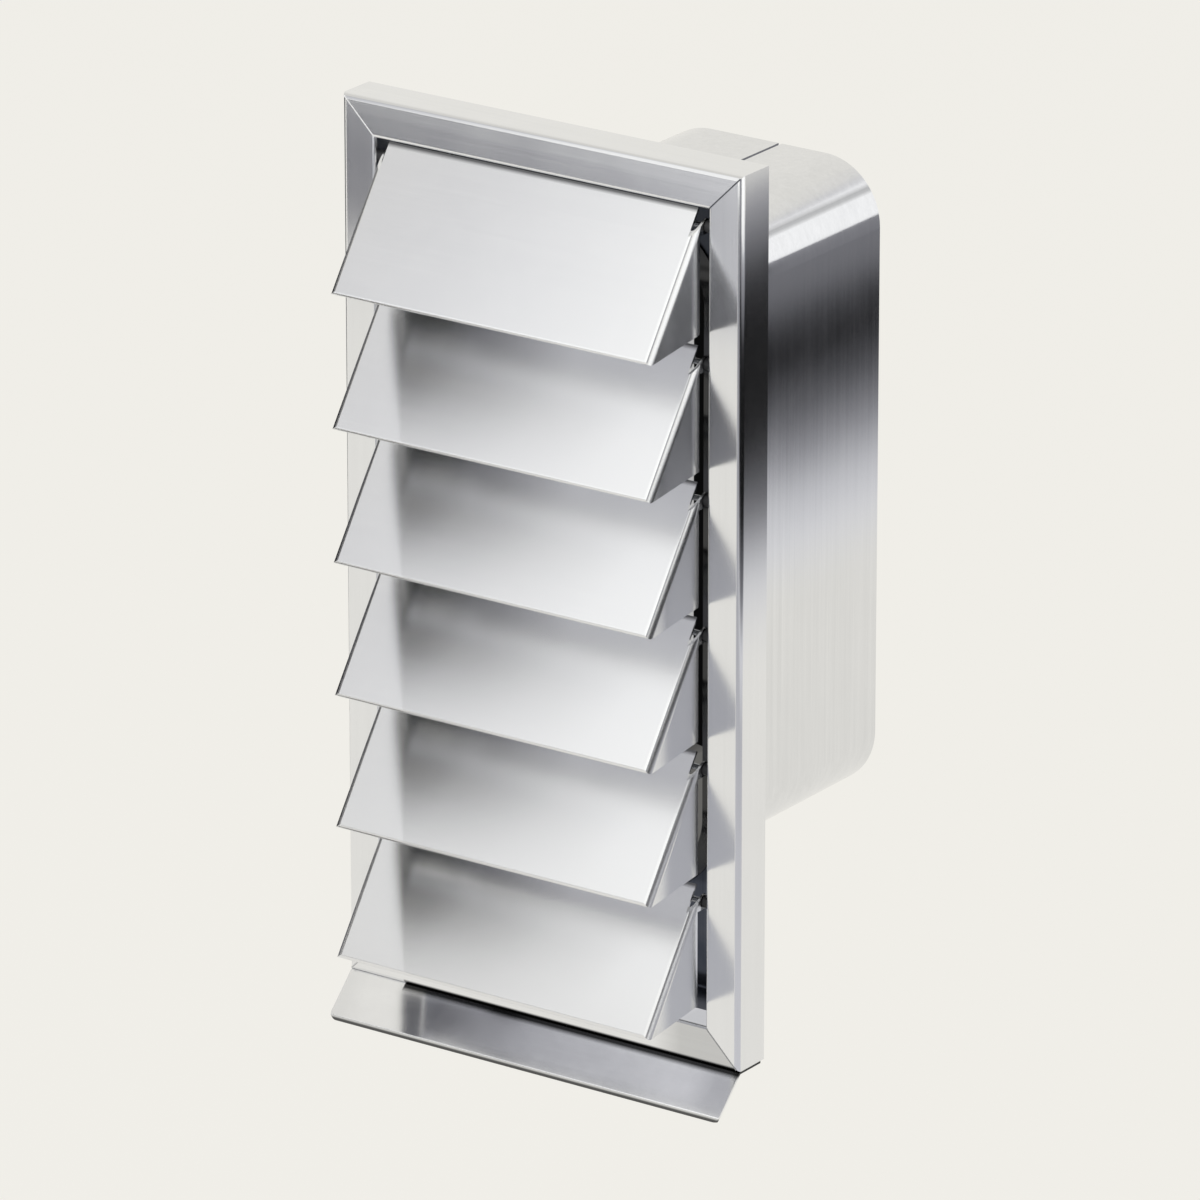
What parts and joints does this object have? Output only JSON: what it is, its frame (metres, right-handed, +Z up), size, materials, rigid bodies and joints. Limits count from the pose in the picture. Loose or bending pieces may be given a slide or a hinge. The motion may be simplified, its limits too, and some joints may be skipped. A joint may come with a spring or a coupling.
{
  "type": "weather louvre",
  "caption": "Steel wall louvre with hinged flaps in a mitred frame, a drip plate, a shallow wall tray and a rounded rectangular sleeve for a flat duct.",
  "frame": {"origin": "centre of the four fixing holes, on the back face of the tray", "axes": "+Z up, +X to the right as seen from outside, the louvre faces -Y and the duct sleeve runs along +Y"},
  "size_m": [0.158, 0.1599, 0.322],
  "materials": {
    "frame_steel": "fine brushed, bright",
    "flap_steel": "bright, faintly brushed",
    "tray_steel": "plain sheet",
    "sleeve_steel": "bright sheet",
    "rod_steel": "drawn rod",
    "bush_plastic": "moulded"
  },
  "bodies": {
    "frame": {"frame_left_stile": "frame_steel", "frame_right_stile": "frame_steel", "frame_top_rail": "frame_steel", "frame_bottom_rail": "frame_steel", "wall_tray": "tray_steel", "duct_sleeve": "sleeve_steel", "drip_plate": "frame_steel", "hinge_bushes": "bush_plastic", "hinge_rod_1": "rod_steel", "hinge_rod_2": "rod_steel", "hinge_rod_3": "rod_steel", "hinge_rod_4": "rod_steel", "hinge_rod_5": "rod_steel", "hinge_rod_6": "rod_steel"},
    "flap_1": {"flap_1": "flap_steel"},
    "flap_2": {"flap_2": "flap_steel"},
    "flap_3": {"flap_3": "flap_steel"},
    "flap_4": {"flap_4": "flap_steel"},
    "flap_5": {"flap_5": "flap_steel"},
    "flap_6": {"flap_6": "flap_steel"}
  },
  "joints": [
    {"name": "flap_hinge_1", "type": "hinge", "parent": "frame", "child": "flap_1", "pos_m": [0, -0.028, 0.1341], "axis": [1, 0, 0], "range_deg": [0, 28]},
    {"name": "flap_hinge_2", "type": "hinge", "parent": "frame", "child": "flap_2", "pos_m": [0, -0.028, 0.08769], "axis": [1, 0, 0], "range_deg": [0, 28]},
    {"name": "flap_hinge_3", "type": "hinge", "parent": "frame", "child": "flap_3", "pos_m": [0, -0.028, 0.04129], "axis": [1, 0, 0], "range_deg": [0, 28]},
    {"name": "flap_hinge_4", "type": "hinge", "parent": "frame", "child": "flap_4", "pos_m": [0, -0.028, -0.00512], "axis": [1, 0, 0], "range_deg": [0, 28]},
    {"name": "flap_hinge_5", "type": "hinge", "parent": "frame", "child": "flap_5", "pos_m": [0, -0.028, -0.05152], "axis": [1, 0, 0], "range_deg": [0, 28]},
    {"name": "flap_hinge_6", "type": "hinge", "parent": "frame", "child": "flap_6", "pos_m": [0, -0.028, -0.09793], "axis": [1, 0, 0], "range_deg": [0, 25]}
  ]
}
